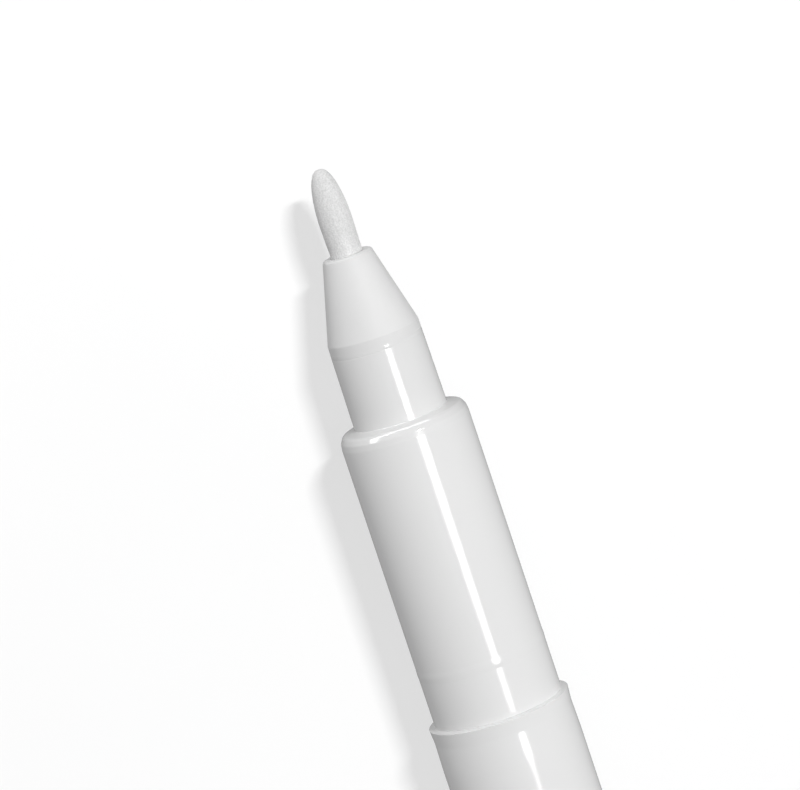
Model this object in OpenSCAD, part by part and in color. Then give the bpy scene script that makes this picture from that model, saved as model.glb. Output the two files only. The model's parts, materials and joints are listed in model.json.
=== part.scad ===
// Counterfeit detector pen: a fibre-tip marker lying on its side, with its cap pushed on the tail.
// The pen's axis is the X axis. The nib points to -X, and X = 0 is the barrel's front rim.

/* [Nib] */
// Length of nib that stands out of the nose
nib_reveal = 7.6; // [6:0.1:9]
// Radius of the nib at its fullest
nib_r = 1.46; // [1.3:0.01:1.6]
// Radius of the nib's shank inside the nose
nib_shank_r = 1.4; // [1.25:0.01:1.45]
// Length of the bullet point
nib_point_len = 4.4; // [3:0.1:5]
// Whole length of the nib
nib_len = 30.4; // [28:0.1:32]

/* [Nose] */
// Radius of the nose's front face, to its rounded edge
nose_face_r = 2.2; // [2:0.01:2.5]
// Length of the nose's cone
nose_cone_len = 7.2; // [6:0.1:9]
// Length of the straight land behind the cone
nose_land_len = 0.8; // [0.8:0.1:2]
// Radius of the land
nose_land_r = 4.12; // [4:0.01:4.15]
// Radius of the spigot that plugs into the neck
nose_spigot_r = 3.2; // [3:0.05:3.4]
// Length of that spigot
nose_spigot_len = 5.6; // [4:0.1:6]

/* [Front section] */
// Length of the neck behind the nose's land
neck_len = 6.8; // [6:0.1:8]
// Radius of the neck at its base
neck_base_r = 4.2; // [4.16:0.01:4.24]
// Length of the seat that the cap's mouth slides over
seat_len = 27; // [25:0.1:27]
// Radius of that seat
seat_r = 5.77; // [5.7:0.01:5.78]
// Length of the spigot that plugs into the barrel
seat_spigot_len = 10; // [8:0.5:12]
// Height of the snap ring that clicks into the cap
snap_h = 0.04; // [0.02:0.01:0.05]
// Distance of the snap ring from the barrel's rim
snap_from_rim = 4.85; // [4:0.05:6]

/* [Barrel] */
// Outer radius of the barrel and the cap
barrel_r = 6.35; // [6.3:0.01:6.6]
// Length of the barrel in front of its tail
barrel_len = 69; // [66:1:72]
// Wall of the barrel
barrel_wall = 1.1; // [1:0.05:1.2]
// Length of the thinner tail that the cap is posted on
tail_len = 14; // [12:0.5:15]
// Radius of the tail
tail_r = 5.74; // [5.7:0.01:5.75]

/* [Reservoir] */
// Radius of the fibre core
core_r = 4.3; // [4:0.05:4.35]
// Thickness of the film around the core
film_t = 0.1; // [0.08:0.01:0.12]

/* [Cap] */
// Length of the cap without its crown
cap_len = 54; // [53:0.5:58]
// Radius of the cap's bore at its mouth
cap_bore_r = 5.8; // [5.8:0.01:5.82]
// Depth of that bore
cap_bore_depth = 27; // [26.5:0.5:27]
// Radius of the inner cap's well, which seals on the neck
well_r = 4.25; // [4.25:0.01:4.35]
// Height of the crown above the cap's end
crown_h = 1.6; // [1.2:0.1:2]

/* [Clip] */
// Width of the clip at its root
clip_w = 4.2; // [3.8:0.1:4.4]
// Width of the clip at its tip
clip_tip_w = 3.4; // [3:0.1:3.8]
// Thickness of the clip's arm
clip_t = 1.3; // [1.2:0.05:1.4]
// Gap between the arm and the cap
clip_gap = 1.2; // [1.15:0.05:1.4]
// Distance of the clip's tip from the cap's mouth
clip_tip_from_mouth = 15; // [12:1:20]

/* [Hidden] */

// Facets of a preview, and cuts in a rounded corner
ROUND_FN = 128;
ROD_FN = 48;
CORNER_STEPS = 5;
POINT_STEPS = 14;

// Roundings of a moulded edge, from a parting edge to a full corner
CRISP = 0.06;
EASED = 0.15;
SOFT = 0.3;
FULL = 0.55;
BLENDED = 1.2;

// Radial clearance of two pieces pushed together, gap of loose ones, and overlap within a piece
SLIP = 0.02;
LOOSE = 0.1;
BITE = 0.3;
THROUGH = 0.1;

// Places along X, from the nib to the tail
shoulder_x = -seat_len;
seam_x = shoulder_x - neck_len;
nose_corner_x = seam_x - nose_land_len;
face_x = nose_corner_x - nose_cone_len;
tip_x = face_x - nib_reveal;
tail_x = barrel_len;
tail_end_x = tail_x + tail_len;
plug_flange = 1.2;
plug_end_x = tail_end_x + plug_flange;

// The reservoir, and the bores that hold it
nib_in_core = 4;
nib_end_x = tip_x + nib_len;
core_x = nib_end_x - nib_in_core;
core_len = 89;
core_end_x = core_x + core_len;
film_r = core_r + film_t;
barrel_bore_r = barrel_r - barrel_wall;
seat_bore_r = film_r + 2 * LOOSE;
tail_bore_r = 4.7;

// The cap, which is posted on the tail
post_gap = 0.2;
well_gap = 1.2;
cap_x = tail_x + post_gap;
well_x = cap_x + cap_bore_depth + well_gap;
cap_end_x = cap_x + cap_len;
cap_back_bore_r = 5.5;

// The clip's hinge, and how far round from straight down the clip stands: there, its outer edge
// and the barrel touch the table together, so the pen doesn't roll
knuckle_r = 0.9;
knuckle_h = barrel_r + 1.25;
knuckle_x = cap_end_x - 4.8;
clip_tip_x = cap_x + clip_tip_from_mouth;
clip_out = barrel_r + clip_gap + clip_t;
clip_edge = norm([clip_out, clip_w / 2]);
clip_from_down = acos((barrel_r - SLIP) / clip_edge) + atan(clip_w / 2 / clip_out);

// A rounded corner at b between the edges to a and c
function unit(v) = v / norm(v);
function corner(a, b, c, rad) =
    rad == 0 ? [b] :
    let (u = unit(a - b), w = unit(c - b), half = acos(u * w) / 2,
         centre = b + unit(u + w) * rad / sin(half),
         first = b + u * rad / tan(half) - centre,
         last = b + w * rad / tan(half) - centre,
         from = atan2(first[1], first[0]),
         sweep = (atan2(last[1], last[0]) - from + 540) % 360 - 180)
    [for (i = [0:CORNER_STEPS]) let (turn = from + sweep * i / CORNER_STEPS)
        centre + rad * [cos(turn), sin(turn)]];
function place(p) = [p[0], p[1]];
function rounding(p) = len(p) > 2 ? p[2] : 0;

// An outline from points [along, out, rounding]
function rounded(pts) =
    let (n = len(pts))
    [for (i = [0:n - 1])
        each corner(place(pts[(i + n - 1) % n]), place(pts[i]), place(pts[(i + 1) % n]),
                    rounding(pts[i]))];

// A solid of revolution about X from an outline of [x, radius, rounding]
module lathe(outline)
    rotate([0, 90, 0])
        rotate_extrude($fn = ROUND_FN)
            polygon([for (p = rounded(outline)) [p[1], p[0]]]);

// Flat ribs set round the axis, from radius r_in to r_out
module ribs(count, r_in, r_out, width, x_from, x_to)
    for (i = [0:count - 1])
        rotate([i * 360 / count, 0, 0])
            translate([x_from, -width / 2, r_in])
                cube([x_to - x_from, width, r_out - r_in]);

// Holes along X, set round the axis at the radius at
module holes(count, r, at, first_turn, x_from, x_to)
    for (i = [0:count - 1])
        rotate([first_turn + i * 360 / count, 0, 0])
            translate([x_from, 0, at])
                rotate([0, 90, 0])
                    cylinder(r = r, h = x_to - x_from, $fn = ROD_FN);

// A side outline of [x, height, rounding] as a plate of the given width, standing over the axis
module side_plate(outline, width)
    rotate([90, 0, 0])
        linear_extrude(height = width, center = true)
            polygon(rounded(outline));

// A rod across the pen at the clip's hinge
module hinge_rod(r, width)
    translate([knuckle_x, 0, knuckle_h])
        rotate([90, 0, 0])
            cylinder(r = r, h = width, center = true, $fn = ROD_FN);

// Turns what stands over the axis round to the side where the clip meets the table
module turned_to_table()
    rotate([180 - clip_from_down, 0, 0])
        children();

// Bonded fibre nib with a bullet point, and a blunt point at its back that enters the reservoir
module nib() {
    BACK_POINT = 1.2;
    point = [for (i = [0:POINT_STEPS]) let (turn = 90 * i / POINT_STEPS)
        [tip_x + nib_point_len * (1 - cos(turn)), nib_r * sin(turn)]];
    back = [
        [face_x, nib_shank_r],
        [nib_end_x - BACK_POINT, nib_shank_r, SOFT],
        [nib_end_x, nib_shank_r / 2, EASED],
        [nib_end_x, 0]];
    color("gainsboro")
        lathe(concat(point, back));
}

// Nose: a cone that grips the nib with six ribs, whose gaps let air back to the reservoir
module nose_cone() {
    VENT_R = 1.95;
    MOUTH_LEN = 0.9;
    RIB_T = 0.5;
    mouth_r = nib_r + SLIP;
    spigot_end = seam_x + nose_spigot_len;
    vent_x = face_x + 2 * MOUTH_LEN;
    color("whitesmoke") {
        lathe([
            [face_x, mouth_r, CRISP],
            [face_x, nose_face_r, SOFT],
            [nose_corner_x, nose_land_r - SLIP, FULL],
            [seam_x, nose_land_r, CRISP],
            [seam_x, nose_spigot_r],
            [spigot_end, nose_spigot_r, EASED],
            [spigot_end, VENT_R],
            [vent_x, VENT_R],
            [face_x + MOUTH_LEN, mouth_r]]);
        ribs(6, nib_shank_r + SLIP, VENT_R + BITE, RIB_T, vent_x + RIB_T, spigot_end - 2 * RIB_T);
    }
}

// Front section: the neck, the shoulder, the seat for the cap and the spigot inside the barrel
module front_section() {
    SNAP_HALF = 0.35;
    SNAP_TOP = 0.08;
    SHOULDER_SLOPE = 0.5;
    SHOULDER_LEN = 0.9;
    SHOULDER_DROP = 0.35;
    NECK_WALL = 1.4;
    spigot_gap = 0.4;
    snap_x = -snap_from_rim;
    pocket_x = core_x - 5 * LOOSE;
    socket_r = nose_spigot_r + SLIP;
    socket_end = seam_x + nose_spigot_len + spigot_gap;
    neck_bore_r = neck_base_r - NECK_WALL;
    color("whitesmoke")
        lathe([
            [seam_x, socket_r],
            [seam_x, nose_land_r, CRISP],
            [shoulder_x, neck_base_r, EASED],
            [shoulder_x + SHOULDER_SLOPE, seat_r - SHOULDER_DROP, EASED],
            [shoulder_x + SHOULDER_LEN, seat_r, FULL],
            [snap_x - SNAP_HALF, seat_r],
            [snap_x - SNAP_TOP, seat_r + snap_h],
            [snap_x + SNAP_TOP, seat_r + snap_h],
            [snap_x + SNAP_HALF, seat_r],
            [0, seat_r],
            [0, barrel_bore_r - SLIP],
            [seat_spigot_len, barrel_bore_r - SLIP, EASED],
            [seat_spigot_len, seat_bore_r],
            [pocket_x, seat_bore_r],
            [pocket_x, neck_bore_r],
            [socket_end, neck_bore_r],
            [socket_end, socket_r]]);
}

// Barrel: a tube with centring ribs inside and a thinner tail for posting the cap
module barrel() {
    RIB_T = 0.7;
    color("whitesmoke") {
        lathe([
            [0, barrel_bore_r],
            [0, barrel_r, SOFT],
            [tail_x, barrel_r, SOFT],
            [tail_x, tail_r, CRISP],
            [tail_end_x, tail_r, EASED],
            [tail_end_x, tail_bore_r],
            [core_end_x + 1, tail_bore_r],
            [core_end_x, barrel_bore_r]]);
        ribs(6, film_r + LOOSE, barrel_bore_r + BITE, RIB_T, seat_spigot_len + 1, core_end_x - 1);
    }
}

// Fibre reservoir, with the pocket that the nib's back end makes in it
module reservoir_core() {
    pocket_r = nib_shank_r + SLIP;
    pocket_end = nib_end_x + LOOSE;
    color("linen")
        lathe([
            [core_x, pocket_r],
            [core_x, core_r, EASED],
            [core_end_x, core_r, EASED],
            [core_end_x, 0],
            [pocket_end, 0],
            [pocket_end, pocket_r]]);
}

// Film wrapped round the reservoir
module reservoir_wrap() {
    FILM_BACK = 0.5;
    color("lightcyan")
        lathe([
            [core_x + FILM_BACK, core_r],
            [core_x + FILM_BACK, film_r],
            [core_end_x - FILM_BACK, film_r],
            [core_end_x - FILM_BACK, core_r]]);
}

// Rear plug: closes the tail, and its crossed blades hold the reservoir forward
module rear_plug() {
    PLUG_REACH = 7.5;
    CUP_R = 3.8;
    BLADE_T = 0.9;
    GATE_R = 1.3;
    GATE_DEPTH = 0.3;
    plug_x = tail_end_x - PLUG_REACH;
    flange_r = tail_r - EASED;
    color("whitesmoke") {
        lathe([
            [plug_x, CUP_R],
            [plug_x, tail_bore_r - SLIP, SOFT],
            [tail_end_x, tail_bore_r - SLIP],
            [tail_end_x, flange_r, CRISP],
            [plug_end_x, flange_r, SOFT],
            [plug_end_x, GATE_R, CRISP],
            [plug_end_x - GATE_DEPTH, GATE_R],
            [plug_end_x - GATE_DEPTH, 0],
            [tail_end_x, 0],
            [tail_end_x, CUP_R]]);
        ribs(4, 0, CUP_R + BITE, BLADE_T, plug_x + BITE, tail_end_x + BITE);
        ribs(4, 0, CUP_R - BITE, BLADE_T, core_end_x + LOOSE, plug_x + 2 * BITE);
    }
}

// Cap shell: flush with the barrel, with a groove for the snap ring and the boss that holds the clip
module cap_shell() {
    GROOVE_HALF = 0.6;
    GROOVE_SLOPE = 0.2;
    GROOVE_DEPTH = 0.06;
    BORE_TAPER = 0.6;
    BOSS_FRONT = 0.5;
    BOSS_BACK = 0.6;
    BOSS_ROOT = 0.35;
    BOSS_FALL = 0.8;
    groove_x = cap_x + snap_from_rim;
    groove_r = cap_bore_r + GROOVE_DEPTH;
    groove_top = GROOVE_HALF - GROOVE_SLOPE;
    bore_end = cap_x + cap_bore_depth;
    boss_x = knuckle_x - BOSS_FRONT;
    boss_end = cap_end_x - BOSS_BACK;
    boss_base = barrel_r - BOSS_ROOT;
    color("whitesmoke") {
        lathe([
            [cap_x, cap_bore_r, CRISP],
            [cap_x, barrel_r, EASED],
            [cap_end_x, barrel_r, CRISP],
            [cap_end_x, cap_back_bore_r],
            [bore_end + BORE_TAPER, cap_back_bore_r],
            [bore_end, cap_bore_r],
            [groove_x + GROOVE_HALF, cap_bore_r],
            [groove_x + groove_top, groove_r],
            [groove_x - groove_top, groove_r],
            [groove_x - GROOVE_HALF, cap_bore_r]]);
        turned_to_table()
            difference() {
                side_plate([
                    [boss_x, boss_base],
                    [boss_x, clip_out, EASED],
                    [knuckle_x + 2 * BLENDED, clip_out, BLENDED],
                    [boss_end, barrel_r + BOSS_FALL, FULL],
                    [boss_end, boss_base]], clip_w);
                hinge_rod(knuckle_r + CRISP, clip_w + 2 * THROUGH);
            }
    }
}

// Inner cap: the well that seals on the neck, held in the shell by its flange and four spacers
module inner_cap() {
    WELL_WALL = 0.6;
    WELL_END = 0.8;
    BACK_GAP = 1.6;
    FLANGE_LEN = 1.3;
    SPACER_T = 0.6;
    SPACER_LEN = 4;
    AIR_R = 0.7;
    back_x = cap_end_x - BACK_GAP;
    flange_x = back_x - FLANGE_LEN;
    wall_r = well_r + WELL_WALL;
    flange_r = cap_back_bore_r - SLIP;
    spacer_x = well_x + 1;
    color("white")
        difference() {
            union() {
                lathe([
                    [well_x, well_r, EASED],
                    [well_x, wall_r, EASED],
                    [flange_x, wall_r],
                    [flange_x, flange_r, CRISP],
                    [back_x, flange_r, CRISP],
                    [back_x, 0],
                    [back_x - WELL_END, 0],
                    [back_x - WELL_END, well_r, SOFT]]);
                ribs(4, wall_r - BITE, flange_r - SLIP, SPACER_T, spacer_x, spacer_x + SPACER_LEN);
            }
            holes(4, AIR_R, flange_r, 45, flange_x - THROUGH, back_x + THROUGH);
        }
}

// Crown: the end button that closes the cap, with three air holes
module cap_crown() {
    AIR_R = 0.6;
    AIR_AT = 3.4;
    SPIGOT_LEN = 1.2;
    GATE_R = 1.2;
    GATE_DEPTH = 0.25;
    CROWN_ROUND = 0.8;
    spigot_x = cap_end_x - SPIGOT_LEN;
    crown_end_x = cap_end_x + crown_h;
    color("whitesmoke")
        difference() {
            lathe([
                [spigot_x, 0],
                [spigot_x, cap_back_bore_r - SLIP, EASED],
                [cap_end_x, cap_back_bore_r - SLIP],
                [cap_end_x, barrel_r, CRISP],
                [crown_end_x, barrel_r, CROWN_ROUND],
                [crown_end_x, GATE_R, CRISP],
                [crown_end_x - GATE_DEPTH, GATE_R],
                [crown_end_x - GATE_DEPTH, 0]]);
            holes(3, AIR_R, AIR_AT, 0, spigot_x - THROUGH, crown_end_x + THROUGH);
        }
}

// Pocket clip: a knuckle in the boss, a springy arm and a bump that presses on the cap
module pocket_clip() {
    ROOT_HALF = 0.55;
    ROOT_LEN = 0.9;
    ROOT_FLARE = 0.9;
    BUMP_GAP = 0.15;
    BUMP_LEN = 1.8;
    BUMP_SLOPE = 1.4;
    TOE_LEN = 0.8;
    TOE_H = 0.6;
    arm_in = clip_out - clip_t;
    bump_h = barrel_r + BUMP_GAP;
    bump_x = clip_tip_x + TOE_LEN;
    bump_end = bump_x + BUMP_LEN;
    root_x = knuckle_x - ROOT_LEN;
    arm_x = root_x - ROOT_FLARE;
    color("whitesmoke")
        turned_to_table() {
            intersection() {
                side_plate([
                    [knuckle_x, knuckle_h - ROOT_HALF],
                    [knuckle_x, knuckle_h + ROOT_HALF],
                    [root_x, knuckle_h + ROOT_HALF, SOFT],
                    [arm_x, clip_out, FULL],
                    [clip_tip_x, clip_out, FULL],
                    [clip_tip_x, bump_h + TOE_H, SOFT],
                    [bump_x, bump_h, SOFT],
                    [bump_end, bump_h, FULL],
                    [bump_end + BUMP_SLOPE, arm_in, FULL],
                    [arm_x, arm_in, FULL],
                    [root_x, knuckle_h - ROOT_HALF, SOFT]], clip_w);
                linear_extrude(height = 2 * clip_out)
                    polygon(rounded([
                        [knuckle_x, -clip_w / 2],
                        [knuckle_x, clip_w / 2],
                        [clip_tip_x, clip_tip_w / 2, BLENDED],
                        [clip_tip_x, -clip_tip_w / 2, BLENDED]]));
            }
            hinge_rod(knuckle_r, clip_w);
        }
}

nib();
nose_cone();
front_section();
barrel();
reservoir_core();
reservoir_wrap();
rear_plug();
cap_shell();
inner_cap();
cap_crown();
pocket_clip();
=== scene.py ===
import json
import math
import random

import bmesh
import bpy
from mathutils import Matrix, Vector, noise


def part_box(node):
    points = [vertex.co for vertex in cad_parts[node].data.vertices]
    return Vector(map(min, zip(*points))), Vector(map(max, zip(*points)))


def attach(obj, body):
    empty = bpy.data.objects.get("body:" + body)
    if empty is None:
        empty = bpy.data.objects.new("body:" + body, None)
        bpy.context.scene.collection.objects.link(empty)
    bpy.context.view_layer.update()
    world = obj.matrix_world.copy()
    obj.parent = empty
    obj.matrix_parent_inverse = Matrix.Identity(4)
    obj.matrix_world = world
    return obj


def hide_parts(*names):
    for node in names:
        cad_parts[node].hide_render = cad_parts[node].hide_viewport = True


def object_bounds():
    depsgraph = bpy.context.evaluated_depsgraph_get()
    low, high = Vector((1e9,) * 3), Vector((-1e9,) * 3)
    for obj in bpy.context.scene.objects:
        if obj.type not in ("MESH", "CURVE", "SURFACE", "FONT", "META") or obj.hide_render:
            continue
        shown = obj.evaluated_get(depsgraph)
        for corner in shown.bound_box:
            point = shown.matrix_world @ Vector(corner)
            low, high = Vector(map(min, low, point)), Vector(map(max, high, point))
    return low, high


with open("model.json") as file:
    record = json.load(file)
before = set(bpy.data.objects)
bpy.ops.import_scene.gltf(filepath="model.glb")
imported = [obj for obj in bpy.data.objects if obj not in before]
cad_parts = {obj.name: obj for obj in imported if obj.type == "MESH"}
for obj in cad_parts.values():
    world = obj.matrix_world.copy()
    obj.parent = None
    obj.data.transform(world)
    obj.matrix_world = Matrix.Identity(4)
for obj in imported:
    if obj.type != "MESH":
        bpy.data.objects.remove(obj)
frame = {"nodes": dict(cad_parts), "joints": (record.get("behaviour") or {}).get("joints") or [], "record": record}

# The looks of a counterfeit detector pen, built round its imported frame.
# The pen lies along X with its nib towards -X. Lengths are in millimetres, and MM turns them into metres.

CAD_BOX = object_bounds()
MM = 0.001
TURN = 2 * math.pi
TINY = 1e-6

# How finely shapes are made
AROUND = 192
PLUG_AROUND = 160
KNUCKLE_AROUND = 64
HOLE_AROUND = 40
LONG_STEP = 2
CLOSE_STEP = 0.08
SHARP_ANGLE = 35


# ---------------------------------------------------------------- places taken from the frame

def ends(node):
    """The node's first and last place along X, in millimetres."""
    low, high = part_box(node)
    return low.x / MM, high.x / MM


def radius(node):
    """Half of the node's width across the pen, in millimetres."""
    low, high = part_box(node)
    return (high.z - low.z) / 2 / MM


TIP_X, NIB_END_X = ends("nib")
FACE_X, NOSE_END_X = ends("nose_cone")
SEAM_X, SPIGOT_END_X = ends("front_section")
RIM_X, TAIL_END_X = ends("barrel")
PLUG_X, PLUG_END_X = ends("rear_plug")
CAP_X, CAP_END_X = ends("cap_shell")
CROWN_X, CROWN_END_X = ends("cap_crown")
CORE_X, CORE_END_X = ends("reservoir_core")
NIB_R = radius("nib")
BARREL_R = radius("barrel")
SEAT_R = frame["record"]["mounts"][0]["dims"]["r_mm"]
FLOOR_Z = CAD_BOX[0].z

# Lengths and radii of parts of a node
SEAT_LEN = 27
LAND_LEN = 0.8
TAIL_LEN = 14
NECK_R = 4.1
SNAP_BACK = 4.85
TAIL_R = 5.74
TAIL_BORE_R = 4.7
BARREL_BORE_R = BARREL_R - 1.1

# Places between the ends, along X
SHOULDER_X = RIM_X - SEAT_LEN
NOSE_CORNER_X = SEAM_X - LAND_LEN
TAIL_X = TAIL_END_X - TAIL_LEN

# The clip's hinge, from the frame's own joint
HINGE = next(j for j in frame["joints"] if j["name"] == "clip_flex")
HINGE_PLACE = Vector(HINGE["pos_m"])
HINGE_X = HINGE_PLACE.x / MM
HINGE_H = math.hypot(HINGE_PLACE.y, HINGE_PLACE.z) / MM
CLIP_TURN = math.atan2(-HINGE_PLACE.y, HINGE_PLACE.z)


# ---------------------------------------------------------------- mesh helpers

def rounded(points, steps=7):
    """An outline from points (along, out, rounding): each rounding becomes an arc."""
    result = []
    count = len(points)
    for i, point in enumerate(points):
        here = Vector(point[:2])
        reach = point[2] if len(point) > 2 else 0
        if reach == 0:
            result.append((here.x, here.y))
            continue
        to_last = (Vector(points[i - 1][:2]) - here).normalized()
        to_next = (Vector(points[(i + 1) % count][:2]) - here).normalized()
        half = to_last.angle(to_next) / 2
        centre = here + (to_last + to_next).normalized() * reach / math.sin(half)
        first = here + to_last * reach / math.tan(half) - centre
        last = here + to_next * reach / math.tan(half) - centre
        sweep = first.angle_signed(last)
        for k in range(steps + 1):
            arm = first.copy()
            arm.rotate(Matrix.Rotation(-sweep * k / steps, 2))
            result.append((centre.x + arm.x, centre.y + arm.y))
    return result


def stretches(outline, longest, close=()):
    """The outline with its long steps cut, so that no step along it is over longest.

    Steps within a reach (from, to) in close are cut finer, which keeps each flat's shading flat."""
    result = [outline[0]]
    for (x0, r0), (x1, r1) in zip(outline, outline[1:]):
        fine = any(start <= min(x0, x1) and max(x0, x1) <= end for start, end in close)
        step = CLOSE_STEP if fine else longest
        cuts = max(1, math.ceil(math.hypot(x1 - x0, r1 - r0) / step))
        for k in range(1, cuts + 1):
            result.append((x0 + (x1 - x0) * k / cuts, r0 + (r1 - r0) * k / cuts))
    return result


def finish_mesh(bm, name, sharp_angle=SHARP_ANGLE):
    """An object from the bmesh, in metres, smooth with its real corners kept sharp."""
    bmesh.ops.recalc_face_normals(bm, faces=bm.faces)
    mesh = bpy.data.meshes.new(name)
    bm.to_mesh(mesh)
    bm.free()
    mesh.shade_smooth()
    mesh.set_sharp_from_angle(angle=math.radians(sharp_angle))
    piece = bpy.data.objects.new(name, mesh)
    bpy.context.scene.collection.objects.link(piece)
    return piece


def add_lathe(bm, outline, segments, ring=False):
    """Turns an outline of (x, radius) about the X axis. A ring's outline closes on itself."""
    rows = []
    for x, r in outline:
        if r < TINY:
            rows.append([bm.verts.new((x * MM, 0, 0))])
            continue
        row = []
        for k in range(segments):
            turn = TURN * k / segments
            row.append(bm.verts.new((x * MM, r * MM * math.cos(turn), r * MM * math.sin(turn))))
        rows.append(row)
    pairs = list(zip(rows, rows[1:]))
    if ring:
        pairs.append((rows[-1], rows[0]))
    for row, other in pairs:
        for k in range(segments):
            n = (k + 1) % segments
            if len(row) == 1 and len(other) == 1:
                continue
            if len(row) == 1:
                bm.faces.new((row[0], other[k], other[n]))
            elif len(other) == 1:
                bm.faces.new((row[k], other[0], row[n]))
            else:
                bm.faces.new((row[k], other[k], other[n], row[n]))
    return rows


def lathe(name, points, segments=AROUND, ring=False, longest=1.5, close=()):
    """A turned piece."""
    bm = bmesh.new()
    outline = rounded(points)
    if ring:
        outline = stretches(outline + outline[:1], longest, close)[:-1]
    else:
        outline = stretches(outline, longest, close)
    add_lathe(bm, outline, segments, ring)
    return finish_mesh(bm, name)


def add_box(bm, low, high, turn):
    """A box between two corners in millimetres, turned about the X axis."""
    made = bmesh.ops.create_cube(bm, size=1)
    size = [(b - a) * MM for a, b in zip(low, high)]
    centre = [(b + a) / 2 * MM for a, b in zip(low, high)]
    place = Matrix.Rotation(turn, 4, "X") @ Matrix.Translation(centre) @ Matrix.Diagonal((*size, 1))
    bmesh.ops.transform(bm, matrix=place, verts=made["verts"])


def add_ribs(bm, count, r_in, r_out, width, x_from, x_to):
    """Flat ribs set round the axis."""
    for k in range(count):
        low = (x_from, -width / 2, r_in)
        high = (x_to, width / 2, r_out)
        add_box(bm, low, high, TURN * k / count)


def cut_holes(piece, places, hole_r, depth):
    """Drills holes along X through the piece, at (x, turn, distance from the axis)."""
    bm = bmesh.new()
    for x, turn, out in places:
        made = bmesh.ops.create_cone(
            bm, cap_ends=True, segments=HOLE_AROUND,
            radius1=hole_r * MM, radius2=hole_r * MM, depth=depth * MM)
        stand = Matrix.Translation((x * MM, 0, out * MM)) @ Matrix.Rotation(math.pi / 2, 4, "Y")
        bmesh.ops.transform(bm, matrix=Matrix.Rotation(turn, 4, "X") @ stand, verts=made["verts"])
    drill = finish_mesh(bm, "drill")
    change = piece.modifiers.new("holes", "BOOLEAN")
    change.object = drill
    change.operation = "DIFFERENCE"
    change.solver = "EXACT"
    apply_modifiers(piece)
    bpy.data.objects.remove(drill)


def apply_modifiers(piece):
    """Makes the piece's modifiers part of its mesh."""
    bpy.context.view_layer.update()
    seen = piece.evaluated_get(bpy.context.evaluated_depsgraph_get())
    mesh = bpy.data.meshes.new_from_object(seen)
    piece.modifiers.clear()
    piece.data = mesh
    mesh.set_sharp_from_angle(angle=math.radians(SHARP_ANGLE))


# ---------------------------------------------------------------- materials

# The middle range of a noise's values, which a ramp spreads over its own range
SPREAD = (0.3, 0.7)
PLASTIC_IOR = 1.49


class Nodes:
    """Short names for building one material's nodes."""

    def __init__(self, name):
        self.material = bpy.data.materials.new(name)
        self.material.use_nodes = True
        self.tree = self.material.node_tree
        self.shader = self.tree.nodes["Principled BSDF"]

    def add(self, kind, **settings):
        node = self.tree.nodes.new(kind)
        for key, value in settings.items():
            if key in node.inputs:
                node.inputs[key].default_value = value
            else:
                setattr(node, key, value)
        return node

    def link(self, out, into):
        self.tree.links.new(out, into)

    def place(self, stretch=(1, 1, 1)):
        """The piece's own coordinates in millimetres, stretched."""
        coordinates = self.add("ShaderNodeTexCoord")
        mapping = self.add("ShaderNodeMapping")
        mapping.inputs["Scale"].default_value = [s / MM for s in stretch]
        self.link(coordinates.outputs["Object"], mapping.inputs["Vector"])
        return mapping.outputs["Vector"]

    def noise(self, place, scale, detail=3.0, roughness=0.5):
        node = self.add("ShaderNodeTexNoise")
        node.inputs["Scale"].default_value = scale
        node.inputs["Detail"].default_value = detail
        node.inputs["Roughness"].default_value = roughness
        self.link(place, node.inputs["Vector"])
        return node.outputs["Fac"]

    def ramp(self, value, low, high, to_low, to_high):
        """Maps low..high to to_low..to_high, held at both ends."""
        node = self.add("ShaderNodeMapRange")
        names = ("From Min", "From Max", "To Min", "To Max")
        for key, number in zip(names, (low, high, to_low, to_high)):
            node.inputs[key].default_value = number
        self.link(value, node.inputs["Value"])
        return node.outputs["Result"]

    def maths(self, operation, first, second):
        node = self.add("ShaderNodeMath", operation=operation)
        for socket, value in zip(node.inputs, (first, second)):
            if isinstance(value, (int, float)):
                socket.default_value = value
            else:
                self.link(value, socket)
        return node.outputs["Value"]

    def tint(self, value, dark, light):
        """A colour between dark and light."""
        node = self.add("ShaderNodeMix", data_type="RGBA")
        sockets = {s.identifier: s for s in node.inputs}
        sockets["A_Color"].default_value = (*dark, 1)
        sockets["B_Color"].default_value = (*light, 1)
        self.link(value, sockets["Factor_Float"])
        return next(s for s in node.outputs if s.identifier == "Result_Color")

    def bump(self, height, distance, strength=1.0, under=None):
        """A bump whose height value 0..1 stands for distance millimetres."""
        node = self.add("ShaderNodeBump")
        node.inputs["Strength"].default_value = strength
        node.inputs["Distance"].default_value = distance * MM
        self.link(height, node.inputs["Height"])
        if under is not None:
            self.link(under, node.inputs["Normal"])
        return node.outputs["Normal"]


def grey(value):
    return (value, value, value)


def painted_shade_band(n, tone, x_from, x_to, share):
    """Painted shade: the tone at x_from, ramping down to tone times share at and beyond x_to."""
    split = n.add("ShaderNodeSeparateXYZ")
    n.link(n.place(), split.inputs["Vector"])
    return n.maths("MULTIPLY", tone, n.ramp(split.outputs["X"], x_from, x_to, 1, share))


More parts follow.
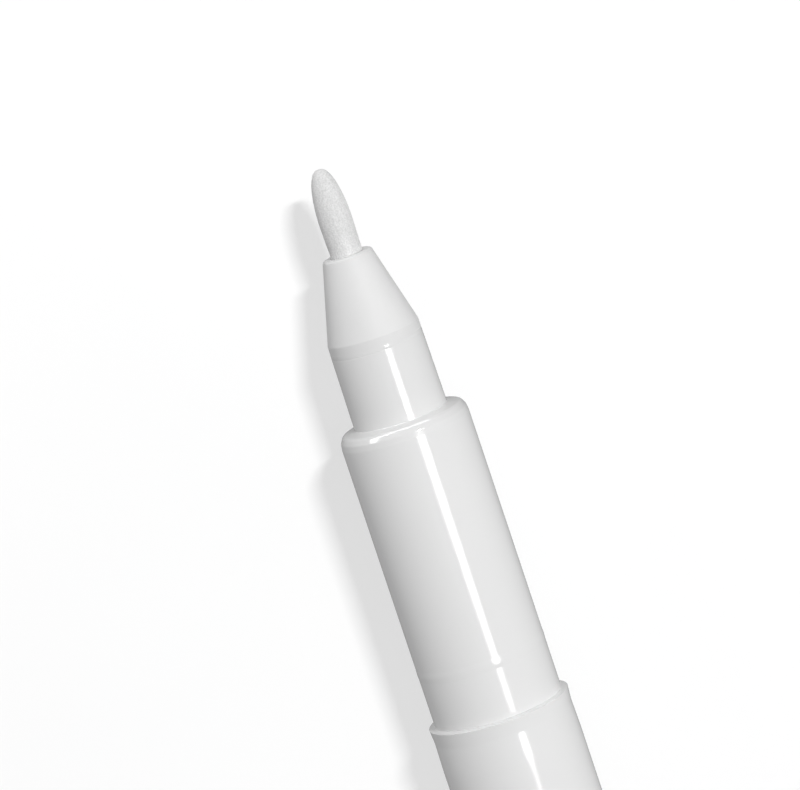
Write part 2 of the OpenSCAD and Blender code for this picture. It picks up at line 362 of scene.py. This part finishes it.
def gloss_plastic(name, tone, roughness, painted_shade=None):
    """Glossy moulded plastic: faint waviness, fine haze and a trace of handling marks."""
    wave_height = 0.006
    ripple_height = 0.004
    texture_height = 0.0003
    n = Nodes(name)
    place = n.place()
    drawn = n.place((0.12, 1, 1))
    cloud = n.noise(place, 0.12, 2)
    colour = n.ramp(cloud, *SPREAD, tone * 0.985, tone)
    # Painted shade: where asked, a band of the colour is painted darker.
    if painted_shade:
        colour = painted_shade_band(n, colour, *painted_shade)
    n.link(colour, n.shader.inputs["Base Color"])
    haze = n.noise(place, 0.6, 5, 0.6)
    marks = n.noise(drawn, 9, 4, 0.65)
    marked = n.ramp(marks, 0.62, 0.75, 0, 0.05)
    rough = n.ramp(haze, *SPREAD, roughness * 0.85, roughness * 1.2)
    n.link(n.maths("ADD", rough, marked), n.shader.inputs["Roughness"])
    waves = n.bump(n.noise(n.place((0.35, 1, 1)), 0.22, 1), wave_height)
    ripples = n.bump(n.noise(place, 0.7, 2), ripple_height, under=waves)
    texture = n.bump(n.noise(place, 14, 2), texture_height, under=ripples)
    n.link(texture, n.shader.inputs["Normal"])
    n.shader.inputs["IOR"].default_value = PLASTIC_IOR
    return n.material


def satin_plastic(name, tone, roughness, painted_shade=None):
    """Satin moulded plastic with a fine spark-eroded grain."""
    grain_height = 0.002
    n = Nodes(name)
    place = n.place()
    cloud = n.noise(place, 0.3, 3)
    colour = n.ramp(cloud, *SPREAD, tone * 0.975, tone)
    # Painted shade: where asked, a band of the colour is painted darker.
    if painted_shade:
        colour = painted_shade_band(n, colour, *painted_shade)
    n.link(colour, n.shader.inputs["Base Color"])
    patchy = n.noise(place, 1.1, 4)
    rough = n.ramp(patchy, *SPREAD, roughness * 0.92, roughness * 1.08)
    n.link(rough, n.shader.inputs["Roughness"])
    n.link(n.bump(n.noise(place, 18, 3, 0.6), grain_height), n.shader.inputs["Normal"])
    n.shader.inputs["IOR"].default_value = PLASTIC_IOR
    n.shader.inputs["Specular IOR Level"].default_value = 0.2
    return n.material


def nib_fibre(name):
    """Bonded fibre: a felt grain, faint lengthwise fibres, and damper and smoother towards the nose."""
    damp_from = FACE_X - 3.2
    damp_to = FACE_X - 0.6
    dry_roughness = 0.88
    damp_roughness = 0.4
    grain_share = 0.75
    grain_height = 0.03
    fibre_height = 0.004
    n = Nodes(name)
    place = n.place()
    along = n.place((0.16, 1, 1))
    split = n.add("ShaderNodeSeparateXYZ")
    n.link(place, split.inputs["Vector"])
    wander = n.ramp(n.noise(place, 1.2, 3), 0, 1, -0.7, 0.7)
    damp_x = n.maths("ADD", split.outputs["X"], wander)
    damp = n.ramp(damp_x, damp_from, damp_to, 0, 1)
    grain = n.noise(place, 8, 2, 0.6)
    fibres = n.noise(along, 8, 3, 0.6)
    grain_part = n.maths("MULTIPLY", grain, grain_share)
    fibre_part = n.maths("MULTIPLY", fibres, 1 - grain_share)
    speckle = n.ramp(n.maths("ADD", grain_part, fibre_part), 0.36, 0.62, 0, 1)
    n.link(n.tint(speckle, grey(0.5), grey(0.65)), n.shader.inputs["Base Color"])
    n.link(n.ramp(damp, 0, 1, dry_roughness, damp_roughness), n.shader.inputs["Roughness"])
    coarse = n.bump(grain, grain_height)
    n.link(n.bump(fibres, fibre_height, under=coarse), n.shader.inputs["Normal"])
    n.shader.inputs["Sheen Weight"].default_value = 0.15
    n.shader.inputs["Sheen Roughness"].default_value = 0.6
    return n.material


def core_fibre(name):
    """The reservoir's bundle of crimped fibres, wet with pale ink."""
    deep = (0.62, 0.54, 0.33)
    pale = (0.84, 0.79, 0.62)
    strand_height = 0.05
    n = Nodes(name)
    along = n.place((0.06, 1, 1))
    strands = n.noise(along, 9, 4, 0.6)
    n.link(n.tint(n.ramp(strands, 0.35, 0.65, 0, 1), deep, pale), n.shader.inputs["Base Color"])
    n.link(n.ramp(n.noise(n.place(), 0.8, 3), *SPREAD, 0.45, 0.8), n.shader.inputs["Roughness"])
    n.link(n.bump(strands, strand_height), n.shader.inputs["Normal"])
    return n.material


def clear_film(name):
    """Thin clear film with soft creases."""
    shaded = (0.82, 0.86, 0.88)
    bright = (0.92, 0.94, 0.95)
    crease_height = 0.02
    see_through = 0.45
    n = Nodes(name)
    creases = n.noise(n.place((0.3, 1, 1)), 0.9, 3)
    # Painted shade and light: the tint follows the creases' height, darker in their low parts and lighter on their
    # ridges.
    n.link(n.tint(creases, shaded, bright), n.shader.inputs["Base Color"])
    n.link(n.ramp(creases, *SPREAD, 0.08, 0.2), n.shader.inputs["Roughness"])
    n.link(n.bump(creases, crease_height), n.shader.inputs["Normal"])
    n.shader.inputs["Alpha"].default_value = see_through
    return n.material


GLOSS_TONE = 0.65
GLOSS_ROUGHNESS = 0.11
# Painted shade: the neck in front of the shoulder is painted 3.5 percent darker than the seat.
NECK_PAINTED_SHADE = (SHOULDER_X + 0.3, SHOULDER_X, 0.965)
# Painted shade: the nose's land behind its corner is painted 4 percent darker than the cone.
LAND_PAINTED_SHADE = (NOSE_CORNER_X - 0.05, NOSE_CORNER_X + 0.05, 0.96)

GLOSS = gloss_plastic("gloss white plastic", GLOSS_TONE, GLOSS_ROUGHNESS)
FRONT = gloss_plastic("front section plastic", GLOSS_TONE, GLOSS_ROUGHNESS, painted_shade=NECK_PAINTED_SHADE)
SATIN = satin_plastic("satin white plastic", tone=0.625, roughness=0.6, painted_shade=LAND_PAINTED_SHADE)
LINER = satin_plastic("liner plastic", tone=0.62, roughness=0.5)
FIBRE = nib_fibre("nib fibre")
CORE = core_fibre("core fibre")
FILM = clear_film("clear film")


def dress(piece, material, slot, body, *nodes):
    """Gives a new piece its material and body, and hides the nodes that it stands for. The slot is not used."""
    piece.data.materials.clear()
    piece.data.materials.append(material)
    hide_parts(*nodes)
    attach(piece, body)


def dress_node(node, material):
    """Gives a frame node its material."""
    piece = frame["nodes"][node]
    for place in piece.material_slots:
        place.material = material


# ---------------------------------------------------------------- nib

POINT_LEN = 4.7
POINT_BLUNTNESS = 1.9
POINT_FULLNESS = 2.5
SHANK_R = NIB_R - 0.06


def nib_radius(x):
    """The nib's radius: a blunt bullet point, then a slight taper to the shank."""
    from_tip = x - TIP_X
    if from_tip < POINT_LEN:
        left = 1 - from_tip / POINT_LEN
        return NIB_R * (1 - left ** POINT_BLUNTNESS) ** (1 / POINT_FULLNESS)
    share = (from_tip - POINT_LEN) / (FACE_X - TIP_X - POINT_LEN)
    return NIB_R + (SHANK_R - NIB_R) * min(share, 1)


def nib_marks():
    """Pits and specks near the nib's base, each (centre, reach, height)."""
    count = 26
    marked_len = 2.6
    random.seed(7)
    marks = []
    for _ in range(count):
        x = FACE_X - 0.15 - marked_len * random.random() ** 1.4
        turn = random.uniform(0, TURN)
        centre = Vector((x, SHANK_R * math.cos(turn), SHANK_R * math.sin(turn)))
        reach = random.uniform(0.05, 0.11)
        height = random.choice((-1, -1, 1)) * random.uniform(0.012, 0.03)
        marks.append((centre, reach, height))
    return marks


def nib_lift(place, marks):
    """How far the felt's surface stands out at the place: grain, fibres and marks."""
    grain_height = 0.008
    fibre_height = 0.003
    mark_edge = 2.5
    grain = noise.fractal(place * 9, 0.8, 2.1, 4)
    fibres = noise.noise(Vector((place.x * 1.1, place.y * 8, place.z * 8)))
    lift = grain_height * grain + fibre_height * fibres
    for centre, reach, height in marks:
        near = (place - centre).length / reach
        if near < mark_edge:
            lift += height * math.exp(-near * near)
    return lift


def make_nib():
    """The nib, with felt grain and a few pits and specks near its base as real shape."""
    segments = 224
    step = 0.045
    tip_rings = 60
    tip_share = 0.12
    xs = [TIP_X + POINT_LEN * (k / tip_rings) ** 2 * tip_share for k in range(tip_rings + 1)]
    while xs[-1] < FACE_X + 0.6:
        xs.append(xs[-1] + step)
    outline = [(x, nib_radius(x)) for x in xs]
    back = [
        (FACE_X + 1.5, SHANK_R),
        (NIB_END_X - 1.2, SHANK_R, 0.3),
        (NIB_END_X, SHANK_R / 2, 0.15),
        (NIB_END_X, 0)]
    outline += stretches(rounded(back), LONG_STEP)
    bm = bmesh.new()
    add_lathe(bm, outline, segments)
    marks = nib_marks()
    for vert in bm.verts:
        place = vert.co / MM
        out = Vector((0, place.y, place.z))
        if out.length < TINY or place.x > FACE_X + 1:
            continue
        vert.co += out.normalized() * nib_lift(place, marks) * MM
    return finish_mesh(bm, "nib_bonded_fibre", sharp_angle=60)


dress(make_nib(), FIBRE, "nib_fibre", "pen", "nib")


# ---------------------------------------------------------------- nose cone

def make_nose():
    """The nose: rounded face, cone, rounded corner, land, and the ribs that grip the nib inside."""
    vent_r = 1.95
    spigot_r = 3.2
    mouth_r = SHANK_R + 0.05
    face_r = 2.18
    face_x = FACE_X + 0.08
    bm = bmesh.new()
    outline = rounded([
        (face_x, mouth_r, 0.05),
        (face_x, face_r, 0.3),
        (NOSE_CORNER_X, NECK_R - 0.02, 0.5),
        (SEAM_X, NECK_R),
        (SEAM_X, spigot_r),
        (NOSE_END_X, spigot_r, 0.2),
        (NOSE_END_X, vent_r),
        (FACE_X + 1.8, vent_r),
        (FACE_X + 0.9, mouth_r)])
    add_lathe(bm, stretches(outline + outline[:1], 0.4)[:-1], AROUND, ring=True)
    add_ribs(bm, count=6, r_in=SHANK_R + 0.02, r_out=vent_r + 0.3, width=0.5,
             x_from=FACE_X + 2.3, x_to=NOSE_END_X - 1)
    return finish_mesh(bm, "nose_cone_moulding")


dress(make_nose(), SATIN, "satin_white", "pen", "nose_cone")


# ---------------------------------------------------------------- front section

def make_front():
    """Neck, shoulder, seat with its snap ring, and the spigot inside the barrel."""
    snap_x = RIM_X - SNAP_BACK
    snap_r = SEAT_R + 0.022
    groove_x = SEAM_X + 0.36
    groove_r = NECK_R - 0.004
    neck_r = NECK_R + 0.008
    neck_end_r = NECK_R + 0.08
    lip_x = RIM_X + 0.06
    lip_r = SEAT_R - 0.12
    spigot_r = BARREL_BORE_R - 0.02
    bore = 4.6
    hole_r = 2.8
    socket_r = 3.22
    socket_end = NOSE_END_X + 0.4
    pocket_x = CORE_X - 0.5
    points = [
        (SEAM_X, socket_r),
        (SEAM_X, NECK_R),
        (groove_x - 0.04, neck_r),
        (groove_x, groove_r),
        (groove_x + 0.04, neck_r),
        (SEAM_X + 0.9, neck_r + 0.004),
        (SHOULDER_X + 0.05, neck_end_r, 0.08),
        (SHOULDER_X + 0.28, SEAT_R - 0.4, 0.5),
        (SHOULDER_X + 0.82, SEAT_R - 0.1, 0.4),
        (SHOULDER_X + 1.35, SEAT_R - 0.02, 1.5),
        (snap_x - 0.5, SEAT_R, 1),
        (snap_x - 0.1, snap_r, 0.5),
        (snap_x + 0.1, snap_r, 0.5),
        (snap_x + 0.5, SEAT_R, 1),
        (RIM_X - 0.3, SEAT_R, 1),
        (lip_x, SEAT_R - 0.02),
        (lip_x, lip_r),
        (RIM_X, lip_r),
        (RIM_X, spigot_r),
        (SPIGOT_END_X, spigot_r, 0.2),
        (SPIGOT_END_X, bore),
        (pocket_x, bore),
        (pocket_x, hole_r),
        (socket_end, hole_r),
        (socket_end, socket_r)]
    neck_start = (SEAM_X, SEAM_X + 1)
    shoulder = (SHOULDER_X - 0.4, SHOULDER_X + 2.5)
    return lathe("front_section_moulding", points, ring=True, close=(neck_start, shoulder))


dress(make_front(), FRONT, "gloss_white", "pen", "front_section")


# ---------------------------------------------------------------- barrel and rear plug

def make_barrel():
    """The barrel: a crisp front rim, a long plain tube and the thinner tail."""
    inlet_r = SEAT_R - 0.14
    face_x = RIM_X + 0.08
    waist_r = BARREL_R - 0.11
    tube_r = BARREL_R - 0.04
    outline = rounded([
        (RIM_X, BARREL_BORE_R),
        (RIM_X, inlet_r),
        (face_x, inlet_r),
        (face_x, SEAT_R + 0.01),
        (face_x + 0.07, BARREL_R - 0.01, 0.03),
        (RIM_X + 1.45, waist_r, 3),
        (RIM_X + 4, tube_r - 0.01, 10),
        (TAIL_X, tube_r, 0.3),
        (TAIL_X, TAIL_R, 0.1),
        (TAIL_END_X, TAIL_R, 0.2),
        (TAIL_END_X, TAIL_BORE_R),
        (CORE_END_X + 1, TAIL_BORE_R),
        (CORE_END_X, BARREL_BORE_R)])
    front = (RIM_X, RIM_X + 4.5)
    bm = bmesh.new()
    add_lathe(bm, stretches(outline + outline[:1], LONG_STEP, (front,))[:-1], AROUND, ring=True)
    add_ribs(bm, count=6, r_in=4.5, r_out=BARREL_BORE_R + 0.3, width=0.7,
             x_from=SPIGOT_END_X + 1, x_to=CORE_END_X - 1)
    return finish_mesh(bm, "barrel_moulding")


def make_plug():
    """The rear plug: a flange with a gate mark, a cup and crossed blades."""
    cup_r = 3.8
    plug_x = TAIL_END_X - 7.5
    plug_r = TAIL_BORE_R - 0.02
    flange_r = TAIL_R - 0.15
    gate_r = 1.3
    gate_x = PLUG_END_X - 0.3
    blade = 0.9
    bm = bmesh.new()
    outline = rounded([
        (TAIL_END_X, 0),
        (TAIL_END_X, cup_r),
        (plug_x, cup_r),
        (plug_x, plug_r, 0.3),
        (TAIL_END_X, plug_r),
        (TAIL_END_X, flange_r, 0.08),
        (PLUG_END_X, flange_r, 0.35),
        (PLUG_END_X, gate_r, 0.1),
        (gate_x, gate_r - 0.1, 0.1),
        (gate_x, 0)])
    add_lathe(bm, stretches(outline, 1), PLUG_AROUND)
    add_ribs(bm, count=4, r_in=0, r_out=cup_r + 0.3, width=blade,
             x_from=plug_x + 0.3, x_to=TAIL_END_X + 0.3)
    add_ribs(bm, count=4, r_in=0, r_out=cup_r - 0.3, width=blade,
             x_from=PLUG_X, x_to=plug_x + 0.6)
    return finish_mesh(bm, "rear_plug_moulding")


dress(make_barrel(), GLOSS, "gloss_white", "pen", "barrel")
dress(make_plug(), GLOSS, "gloss_white", "pen", "rear_plug")


# ---------------------------------------------------------------- cap

CAP_BORE_R = 5.8
CAP_BACK_BORE_R = 5.5
CAP_BORE_END = CAP_X + 27
CLIP_OUT = BARREL_R + 2.5
CLIP_W = 4.2


def add_plate(bm, outline, width_at, bevel):
    """A side outline of (x, height) given a width, with its long edges rounded."""
    sides = []
    for side in (-1, 1):
        sides.append([bm.verts.new((x * MM, side * width_at(x) / 2 * MM, h * MM)) for x, h in outline])
    faces = [bm.faces.new(row) for row in sides]
    count = len(outline)
    for k in range(count):
        n = (k + 1) % count
        faces.append(bm.faces.new((sides[0][k], sides[0][n], sides[1][n], sides[1][k])))
    bmesh.ops.recalc_face_normals(bm, faces=faces)
    rims = [e for row in sides for e in
            [bm.edges.get((row[k], row[(k + 1) % count])) for k in range(count)]]
    bmesh.ops.bevel(bm, geom=rims, offset=bevel * MM, segments=4, profile=0.5, affect="EDGES",
                    clamp_overlap=True)


def make_cap():
    """The cap shell: mouth, snap groove and bore. make_boss makes the boss that holds the clip."""
    groove_x = CAP_X + SNAP_BACK
    groove_r = CAP_BORE_R + 0.06
    outline = rounded([
        (CAP_X, CAP_BORE_R, 0.1),
        (CAP_X, BARREL_R, 0.16),
        (CAP_END_X, BARREL_R, 0.1),
        (CAP_END_X, CAP_BACK_BORE_R),
        (CAP_BORE_END + 0.6, CAP_BACK_BORE_R),
        (CAP_BORE_END, CAP_BORE_R),
        (groove_x + 0.6, CAP_BORE_R, 0.2),
        (groove_x + 0.4, groove_r, 0.2),
        (groove_x - 0.4, groove_r, 0.2),
        (groove_x - 0.6, CAP_BORE_R, 0.2)])
    bm = bmesh.new()
    add_lathe(bm, stretches(outline + outline[:1], LONG_STEP)[:-1], AROUND, ring=True)
    return finish_mesh(bm, "cap_shell_moulding")


def make_boss():
    """The boss on the cap, with the socket that the clip's root turns in."""
    front = HINGE_X - 0.5
    back = CAP_END_X - 0.6
    base = BARREL_R - 0.35
    socket_r = 0.96
    mouth = math.acos(0.5 / socket_r)
    arc_steps = 24
    arc = []
    for k in range(arc_steps + 1):
        turn = math.pi - mouth - (TURN - 2 * mouth) * k / arc_steps
        arc.append((HINGE_X + socket_r * math.cos(turn), HINGE_H + socket_r * math.sin(turn)))
    outline = rounded([
        (front, CLIP_OUT, 0.14),
        (HINGE_X + 2.4, CLIP_OUT, 1.2),
        (back, BARREL_R + 0.8, 0.55),
        (back, base),
        (front, base)])
    bm = bmesh.new()
    add_plate(bm, outline + arc[::-1], lambda x: CLIP_W, 0.16)
    bmesh.ops.rotate(bm, matrix=Matrix.Rotation(CLIP_TURN, 3, "X"), verts=bm.verts)
    return finish_mesh(bm, "cap_clip_boss")


def make_crown():
    """The cap's end button, with a gate mark and three air holes."""
    spigot_r = CAP_BACK_BORE_R - 0.02
    gate_r = 1.2
    gate_x = CROWN_END_X - 0.25
    hole_count = 3
    hole_out = 3.4
    hole_r = 0.6
    piece = lathe("cap_crown_moulding", [
        (CROWN_X, 0),
        (CROWN_X, spigot_r, 0.15),
        (CAP_END_X, spigot_r),
        (CAP_END_X, BARREL_R, 0.1),
        (CROWN_END_X, BARREL_R, 0.75),
        (CROWN_END_X, gate_r, 0.1),
        (gate_x, gate_r - 0.1, 0.1),
        (gate_x, 0)])
    middle = (CROWN_X + CROWN_END_X) / 2
    places = [(middle, TURN * k / hole_count, hole_out) for k in range(hole_count)]
    cut_holes(piece, places, hole_r, depth=6)
    return piece


def make_clip():
    """The pocket clip: root, springy arm tapering to a round toe, and the bump under it."""
    arm_in = CLIP_OUT - 1.3
    bump_h = BARREL_R + 0.15
    tip_x = CAP_X + 15
    bump_x = tip_x + 0.8
    bump_end = bump_x + 1.8
    root_x = HINGE_X - 0.9
    arm_x = root_x - 0.9
    half = 0.55
    toe = 1.3
    toe_width = 3.4
    knuckle_r = 0.9
    outline = rounded([
        (HINGE_X, HINGE_H - half),
        (HINGE_X, HINGE_H + half),
        (root_x, HINGE_H + half, 0.3),
        (arm_x, CLIP_OUT, 0.55),
        (tip_x, CLIP_OUT, 0.6),
        (tip_x, bump_h + 0.6, 0.35),
        (bump_x, bump_h, 0.35),
        (bump_end, bump_h, 0.7),
        (bump_end + 1.4, arm_in, 0.8),
        (arm_x, arm_in, 0.55),
        (root_x, HINGE_H - half, 0.3)])

    def width(x):
        share = min(max((HINGE_X - x) / (HINGE_X - tip_x), 0), 1)
        taper = CLIP_W + (toe_width - CLIP_W) * share
        from_tip = x - tip_x
        if from_tip < toe:
            inset = toe - math.sqrt(max(toe * toe - (toe - from_tip) ** 2, 0))
            taper -= 1.5 * inset
        return taper

    bm = bmesh.new()
    add_plate(bm, outline, width, 0.28)
    made = bmesh.ops.create_cone(
        bm, cap_ends=True, segments=KNUCKLE_AROUND,
        radius1=knuckle_r * MM, radius2=knuckle_r * MM, depth=CLIP_W * MM)
    stand = Matrix.Translation((HINGE_X * MM, 0, HINGE_H * MM)) @ Matrix.Rotation(math.pi / 2, 4, "X")
    bmesh.ops.transform(bm, matrix=stand, verts=made["verts"])
    bmesh.ops.rotate(bm, matrix=Matrix.Rotation(CLIP_TURN, 3, "X"), verts=bm.verts)
    return finish_mesh(bm, "pocket_clip_moulding")


dress(make_cap(), GLOSS, "gloss_white", "cap", "cap_shell")
dress(make_boss(), GLOSS, "gloss_white", "cap", "cap_shell")
dress(make_crown(), GLOSS, "gloss_white", "cap", "cap_crown")
dress(make_clip(), GLOSS, "gloss_white", "clip", "pocket_clip")

dress_node("inner_cap", LINER)
dress_node("reservoir_core", CORE)
dress_node("reservoir_wrap", FILM)


# ---------------------------------------------------------------- floor, light and camera

def make_floor():
    """A plain pale floor that the pen lies on."""
    glow = 0.4
    bm = bmesh.new()
    bmesh.ops.create_grid(bm, x_segments=1, y_segments=1, size=1.5)
    floor = finish_mesh(bm, "floor")
    floor.location.z = FLOOR_Z
    n = Nodes("floor paper")
    cloud = n.noise(n.place(), 0.02, 2)
    n.link(n.tint(cloud, grey(0.48), grey(0.5)), n.shader.inputs["Base Color"])
    n.shader.inputs["Roughness"].default_value = 0.9
    n.shader.inputs["Specular IOR Level"].default_value = 0.1
    n.shader.inputs["Emission Color"].default_value = (1, 1, 1, 1)
    n.shader.inputs["Emission Strength"].default_value = glow
    floor.data.materials.append(n.material)
    floor.visible_diffuse = False
    floor.visible_glossy = False


LOOK_AT = Vector((-28.65, 0.5, 0)) * MM

# The lights' distances and sizes are in metres and their powers in watts.
FAR = 0.9
NEAR = 0.8


def direction(along, across):
    """The direction whose slopes from straight up are these angles: + along is to the nib."""
    return Vector((-math.tan(math.radians(along)), math.tan(math.radians(across)), 1)).normalized()


def area_light(name, along, across, distance, size, power, shape="RECTANGLE", turn=0):
    """A flat studio light in that direction, with its size (along the pen, across it)."""
    data = bpy.data.lights.new(name, "AREA")
    data.shape = shape
    data.size, data.size_y = size
    data.energy = power
    light = bpy.data.objects.new(name, data)
    bpy.context.scene.collection.objects.link(light)
    back = direction(along, across)
    light.location = LOOK_AT + back * distance
    side = Vector((1, 0, 0))
    side = (side - back * side.dot(back)).normalized()
    up = back.cross(side)
    stand = Matrix((side, up, back)).transposed()
    light.rotation_euler = (stand @ Matrix.Rotation(math.radians(turn), 3, "Z")).to_euler()
    return light


def fill_light(name, along, across, size, power, shadow=False):
    """A soft fill that leaves no reflection, and only a shadow if asked."""
    light = area_light(name, along, across, FAR, size, power)
    light.visible_glossy = False
    light.data.use_shadow = shadow


def shine_light(name, along, across, distance, size, power, shape="RECTANGLE", turn=0):
    """A light that only shows as a reflection in the gloss."""
    light = area_light(name, along, across, distance, size, power, shape, turn)
    light.visible_diffuse = False


make_floor()

area_light("key softbox", along=25.5, across=24, distance=FAR, size=(0.03, 0.15), power=5.33, turn=-10)
fill_light("low nose fill", along=65.6, across=-52, size=(0.3, 0.35), power=3.5)
fill_light("low tail fill", along=-65.6, across=45, size=(0.3, 0.35), power=3.7)
fill_light("low right fill", along=0, across=78.7, size=(1.0, 0.2), power=1.55)
fill_light("left fill", along=0, across=-64.5, size=(1.0, 0.3), power=0.48, shadow=True)
fill_light("low left fill", along=0, across=-78.7, size=(1.0, 0.2), power=0.25)
shine_light("strip light", along=-8.4, across=21.7, distance=NEAR, size=(0.23, 0.19), power=1.3,
            shape="ELLIPSE", turn=12)
shine_light("strip light front", along=0, across=21.7, distance=NEAR, size=(0.2, 0.18), power=0.8)
shine_light("nose glint", along=82.5, across=-62, distance=FAR, size=(1.5, 0.24), power=14, turn=-14)


def make_world():
    """An even white surround."""
    strength = 0.3
    world = bpy.data.worlds.new("studio")
    world.use_nodes = True
    background = world.node_tree.nodes["Background"]
    background.inputs["Color"].default_value = (1, 1, 1, 1)
    background.inputs["Strength"].default_value = strength
    bpy.context.scene.world = world


def make_camera():
    """The camera: 81 degrees above the floor on the nib's side, with the nib up and to the left."""
    elevation = math.radians(80.7)
    roll = math.radians(18.5)
    distance = 0.478
    back = Vector((-math.cos(elevation), 0, math.sin(elevation)))
    across = Vector((0, 1, 0))
    towards_nib = back.cross(across)
    up = math.cos(roll) * towards_nib + math.sin(roll) * across
    right = math.cos(roll) * across - math.sin(roll) * towards_nib
    data = bpy.data.cameras.new("camera")
    data.lens = 250
    data.sensor_width = 36
    data.clip_start = 0.01
    data.clip_end = 10
    camera = bpy.data.objects.new("camera", data)
    bpy.context.scene.collection.objects.link(camera)
    stand = Matrix((right, up, back)).transposed().to_4x4()
    camera.matrix_world = Matrix.Translation(LOOK_AT + back * distance) @ stand
    bpy.context.scene.camera = camera


make_world()
make_camera()
bpy.context.scene.view_settings.view_transform = "Standard"
